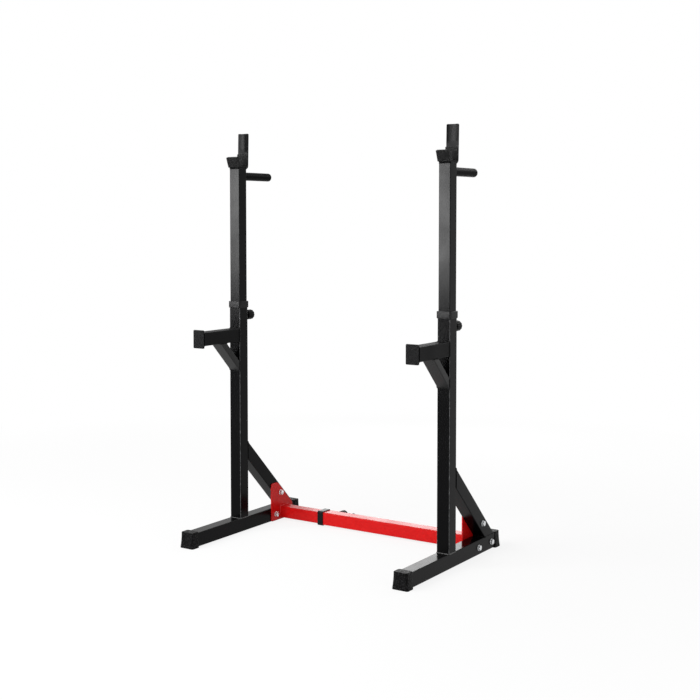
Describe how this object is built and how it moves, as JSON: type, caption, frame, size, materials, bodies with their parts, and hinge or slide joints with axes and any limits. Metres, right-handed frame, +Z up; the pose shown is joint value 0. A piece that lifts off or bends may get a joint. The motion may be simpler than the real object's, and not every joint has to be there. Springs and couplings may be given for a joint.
{
  "type": "squat stand",
  "caption": "Pair of height-adjustable squat stands with bar hooks, spotter arms and dip handles, joined at the floor by a telescopic crossbar.",
  "frame": {"origin": "on the floor, at the middle of the footprint of the two feet", "axes": "+Z up, +X from the left stand to the right stand, +Y to the rear, where the crossbar is; the spotter arms point to -Y"},
  "size_m": [0.9874, 0.6798, 1.547],
  "materials": {
    "black_paint": "semi-gloss black powder coat",
    "red_paint": "gloss red powder coat",
    "cap_rubber": "moulded black rubber with a pebbled face",
    "liner_rubber": "matte black rubber",
    "grip_rubber": "smooth black rubber",
    "collar_plastic": "glossy black moulded plastic",
    "knob_plastic": "black moulded plastic",
    "zinc": "bright zinc plating",
    "spring_steel": "oiled spring steel"
  },
  "bodies": {
    "right_stand": {"right_foot_tube": "black_paint", "right_foot_cap_front": "cap_rubber", "right_foot_cap_rear": "cap_rubber", "right_lower_upright": "black_paint", "right_upright_collar": "collar_plastic", "right_rear_brace": "black_paint", "right_spotter_arm": "black_paint", "right_arm_end_plate": "black_paint", "right_arm_brace": "black_paint", "right_gusset_plate": "red_paint", "right_base_front_bolt": "zinc", "right_base_rear_bolt": "zinc", "right_brace_bolt": "zinc", "right_base_front_nut": "zinc", "right_base_rear_nut": "zinc", "right_brace_nut": "zinc", "right_pin_barrel": "black_paint", "right_pin_spring": "spring_steel", "crossbar_outer_tube": "red_paint", "crossbar_collar": "collar_plastic", "crossbar_pin_barrel": "red_paint", "crossbar_pin_spring": "spring_steel", "crossbar_clamp_nut": "red_paint"},
    "left_stand": {"left_foot_tube": "black_paint", "left_foot_cap_front": "cap_rubber", "left_foot_cap_rear": "cap_rubber", "left_lower_upright": "black_paint", "left_upright_collar": "collar_plastic", "left_rear_brace": "black_paint", "left_spotter_arm": "black_paint", "left_arm_end_plate": "black_paint", "left_arm_brace": "black_paint", "left_gusset_plate": "red_paint", "left_base_front_bolt": "zinc", "left_base_rear_bolt": "zinc", "left_brace_bolt": "zinc", "left_base_front_nut": "zinc", "left_base_rear_nut": "zinc", "left_brace_nut": "zinc", "left_pin_barrel": "black_paint", "left_pin_spring": "spring_steel", "crossbar_inner_tube": "red_paint"},
    "right_post": {"right_upper_post": "black_paint", "right_bar_hook": "black_paint", "right_hook_liner": "liner_rubber", "right_handle_tube": "black_paint", "right_handle_grip": "grip_rubber"},
    "left_post": {"left_upper_post": "black_paint", "left_bar_hook": "black_paint", "left_hook_liner": "liner_rubber", "left_handle_tube": "black_paint", "left_handle_grip": "grip_rubber"},
    "right_height_pin": {"right_lock_pin": "zinc", "right_pin_knob": "knob_plastic"},
    "left_height_pin": {"left_lock_pin": "zinc", "left_pin_knob": "knob_plastic"},
    "crossbar_width_pin": {"crossbar_lock_pin": "zinc", "crossbar_pin_knob": "knob_plastic"},
    "clamp_screw": {"crossbar_clamp_knob": "knob_plastic"}
  },
  "joints": [
    {"name": "width_slide", "type": "slide", "parent": "right_stand", "child": "left_stand", "axis": [-1, 0, 0], "range_m": [-0.15, 0.15]},
    {"name": "right_post_height", "type": "slide", "parent": "right_stand", "child": "right_post", "axis": [0, 0, 1], "range_m": [-0.45, 0.15]},
    {"name": "left_post_height", "type": "slide", "parent": "left_stand", "child": "left_post", "axis": [0, 0, 1], "range_m": [-0.45, 0.15]},
    {"name": "right_height_pin_pull", "type": "slide", "parent": "right_stand", "child": "right_height_pin", "axis": [0, 1, 0], "range_m": [0, 0.008], "stiffness_N_per_m": 1500, "springref_m": -0.005, "deforming": ["right_pin_spring"]},
    {"name": "left_height_pin_pull", "type": "slide", "parent": "left_stand", "child": "left_height_pin", "axis": [0, 1, 0], "range_m": [0, 0.008], "stiffness_N_per_m": 1500, "springref_m": -0.005, "deforming": ["left_pin_spring"]},
    {"name": "crossbar_pin_pull", "type": "slide", "parent": "right_stand", "child": "crossbar_width_pin", "axis": [0, 1, 0], "range_m": [0, 0.008], "stiffness_N_per_m": 1500, "springref_m": -0.005, "deforming": ["crossbar_pin_spring"]},
    {"name": "clamp_turn", "type": "hinge", "parent": "right_stand", "child": "clamp_screw", "pos_m": [-0.1326, 0.2505, 0.033], "axis": [0, 1, 0], "range_deg": [0, 360]}
  ]
}
